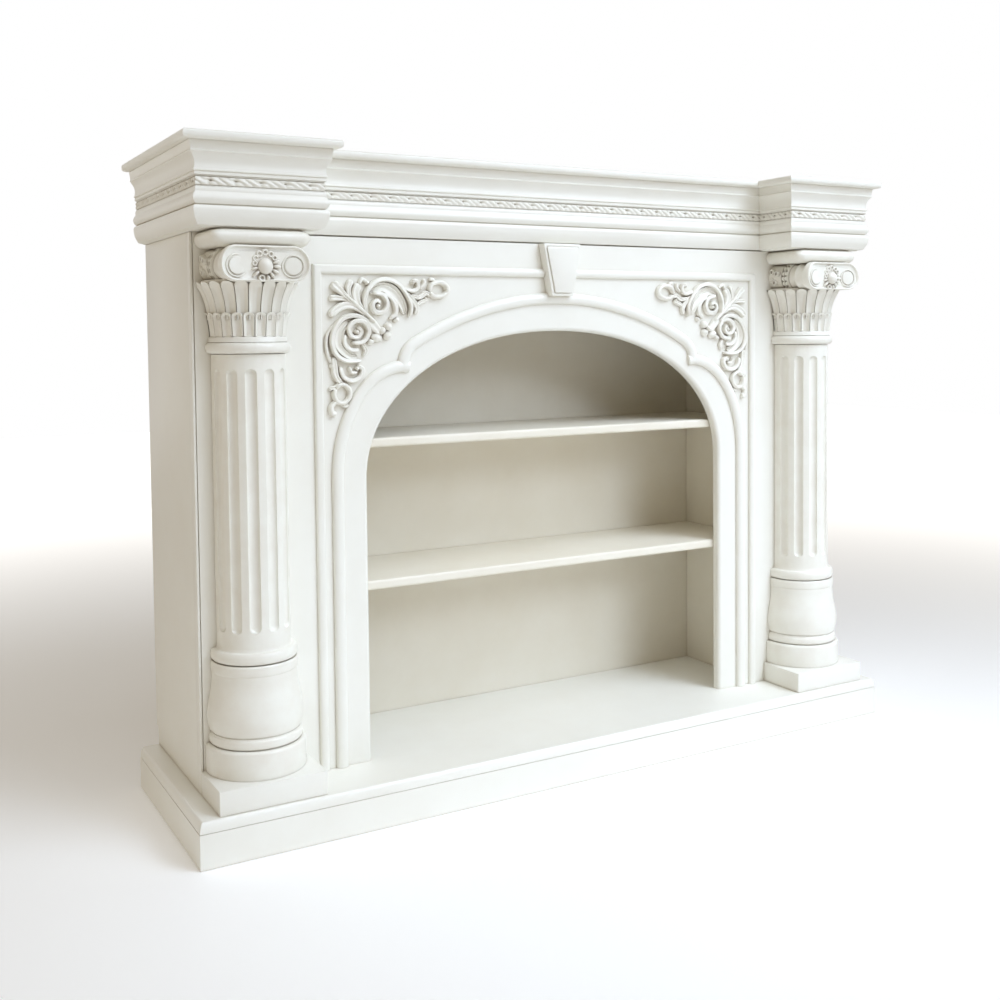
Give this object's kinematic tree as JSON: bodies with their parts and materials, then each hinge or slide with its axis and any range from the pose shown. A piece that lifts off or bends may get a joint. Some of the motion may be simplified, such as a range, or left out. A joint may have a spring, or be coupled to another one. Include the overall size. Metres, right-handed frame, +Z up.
{
  "type": "fireplace mantelpiece",
  "caption": "Painted mantelpiece with an arched, shelved recess between fluted half columns, under a breakfront cornice and mantel shelf",
  "frame": {"origin": "on the floor, under the middle of the bounding box of the whole piece (the slab's underside is at height 0)", "axes": "+X to the right as seen from the front, +Y from the front of the piece towards the wall behind it, +Z up"},
  "size_m": [1.5544, 0.4454, 1.2],
  "materials": {
    "base_slab_paint": "satin ivory lacquer on medium density fibreboard",
    "front_panel_paint": "satin ivory lacquer on medium density fibreboard",
    "back_board_paint": "satin ivory lacquer on board, inside the recess",
    "ceiling_board_paint": "satin ivory lacquer on board, inside the recess",
    "shelf_lower_paint": "satin ivory lacquer on board, inside the recess",
    "shelf_upper_paint": "satin ivory lacquer on board, inside the recess",
    "bed_moulding_paint": "satin ivory lacquer on medium density fibreboard",
    "carved_band_paint": "satin ivory lacquer on a moulded resin casting",
    "crown_moulding_paint": "satin ivory lacquer on medium density fibreboard",
    "top_board_paint": "satin ivory lacquer on medium density fibreboard",
    "keystone_paint": "satin ivory lacquer on a moulded resin casting",
    "cusped_moulding_paint": "satin ivory lacquer on a wooden moulding",
    "side_panel_left_paint": "satin ivory lacquer on medium density fibreboard",
    "side_panel_right_paint": "satin ivory lacquer on medium density fibreboard",
    "inner_wall_left_paint": "satin ivory lacquer on board, inside the recess",
    "inner_wall_right_paint": "satin ivory lacquer on board, inside the recess",
    "soffit_board_left_paint": "satin ivory lacquer on medium density fibreboard",
    "soffit_board_right_paint": "satin ivory lacquer on medium density fibreboard",
    "plinth_block_left_paint": "satin ivory lacquer on medium density fibreboard",
    "plinth_block_right_paint": "satin ivory lacquer on medium density fibreboard",
    "panel_bead_left_paint": "satin ivory lacquer on a wooden moulding",
    "panel_bead_right_paint": "satin ivory lacquer on a wooden moulding",
    "column_drum_left_paint": "satin ivory lacquer on a moulded resin casting",
    "column_drum_right_paint": "satin ivory lacquer on a moulded resin casting",
    "column_bulb_left_paint": "satin ivory lacquer on a moulded resin casting",
    "column_bulb_right_paint": "satin ivory lacquer on a moulded resin casting",
    "column_shaft_left_paint": "satin ivory lacquer on a moulded resin casting",
    "column_shaft_right_paint": "satin ivory lacquer on a moulded resin casting",
    "column_capital_left_paint": "satin ivory lacquer on a moulded resin casting",
    "column_capital_right_paint": "satin ivory lacquer on a moulded resin casting",
    "carved_corner_left_paint": "satin ivory lacquer on a moulded resin casting",
    "carved_corner_right_paint": "satin ivory lacquer on a moulded resin casting"
  },
  "bodies": {
    "root": {"base_slab": "base_slab_paint", "front_panel": "front_panel_paint", "back_board": "back_board_paint", "ceiling_board": "ceiling_board_paint", "shelf_lower": "shelf_lower_paint", "shelf_upper": "shelf_upper_paint", "bed_moulding": "bed_moulding_paint", "carved_band": "carved_band_paint", "crown_moulding": "crown_moulding_paint", "top_board": "top_board_paint", "keystone": "keystone_paint", "cusped_moulding": "cusped_moulding_paint", "side_panel_left": "side_panel_left_paint", "side_panel_right": "side_panel_right_paint", "inner_wall_left": "inner_wall_left_paint", "inner_wall_right": "inner_wall_right_paint", "soffit_board_left": "soffit_board_left_paint", "soffit_board_right": "soffit_board_right_paint", "plinth_block_left": "plinth_block_left_paint", "plinth_block_right": "plinth_block_right_paint", "panel_bead_left": "panel_bead_left_paint", "panel_bead_right": "panel_bead_right_paint", "column_drum_left": "column_drum_left_paint", "column_drum_right": "column_drum_right_paint", "column_bulb_left": "column_bulb_left_paint", "column_bulb_right": "column_bulb_right_paint", "column_shaft_left": "column_shaft_left_paint", "column_shaft_right": "column_shaft_right_paint", "column_capital_left": "column_capital_left_paint", "column_capital_right": "column_capital_right_paint", "carved_corner_left": "carved_corner_left_paint", "carved_corner_right": "carved_corner_right_paint"}
  },
  "joints": []
}
